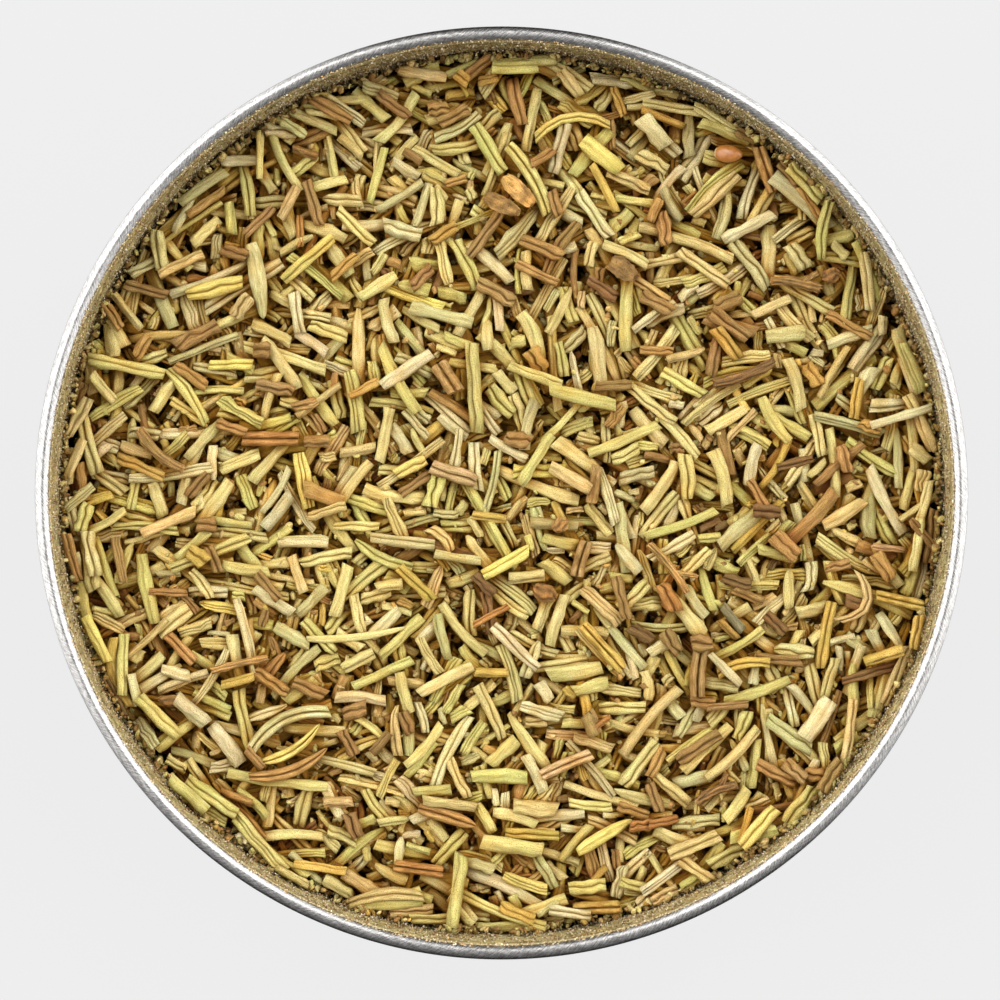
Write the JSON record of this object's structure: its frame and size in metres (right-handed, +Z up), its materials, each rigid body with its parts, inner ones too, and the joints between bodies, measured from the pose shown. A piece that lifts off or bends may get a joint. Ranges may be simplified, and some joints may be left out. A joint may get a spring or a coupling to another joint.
{
  "type": "tin of dried rosemary",
  "caption": "Open round brushed steel tin with a rolled rim, filled nearly to the brim with dried rosemary leaves cut to short pieces.",
  "frame": {"origin": "on the surface that the tin stands on, at the middle of its foot", "axes": "+Z up out of the tin's mouth, +X to the right and +Y to the top of the picture, which looks straight down"},
  "size_m": [0.0904, 0.0904, 0.03],
  "materials": {
    "tin": "brushed and worn, bright on the rolled rim",
    "dried_leaf": "dry, matt, finely wrinkled, grey-green to yellow-green",
    "brown_leaf": "dry, matt, russet to dark brown",
    "golden_leaf": "dry, matt, golden yellow",
    "twig": "thin ridged bark, matt",
    "bud": "wrinkled, matt",
    "seed": "smooth with a soft gloss, a pale scar at one end",
    "pale_chip": "pale bare wood, matt"
  },
  "bodies": {
    "root": {"tin_body": "tin", "leaf_bed": "dried_leaf", "nutlet_1": "seed", "nutlet_2": "seed", "nutlet_3": "seed", "curved_leaf_1": "dried_leaf", "curved_leaf_2": "dried_leaf", "curved_leaf_3": "brown_leaf", "curved_leaf_4": "golden_leaf", "curved_leaf_5": "dried_leaf", "long_leaf": "dried_leaf", "twig_1": "twig", "twig_2": "twig", "twig_3": "twig", "twig_4": "twig", "twig_5": "twig", "twig_6": "twig", "bud_1": "bud", "bud_2": "bud", "bud_3": "bud", "bud_4": "bud", "brown_leaf_1": "brown_leaf", "brown_leaf_2": "brown_leaf", "brown_leaf_3": "brown_leaf", "brown_leaf_4": "brown_leaf", "brown_leaf_5": "brown_leaf", "brown_leaf_6": "brown_leaf", "brown_leaf_7": "brown_leaf", "brown_leaf_8": "brown_leaf", "brown_leaf_9": "brown_leaf", "brown_leaf_10": "brown_leaf", "brown_leaf_11": "brown_leaf", "brown_leaf_12": "brown_leaf", "gold_leaf_1": "golden_leaf", "gold_leaf_2": "golden_leaf", "gold_leaf_3": "golden_leaf", "gold_leaf_4": "golden_leaf", "pale_chip": "pale_chip"}
  },
  "joints": []
}
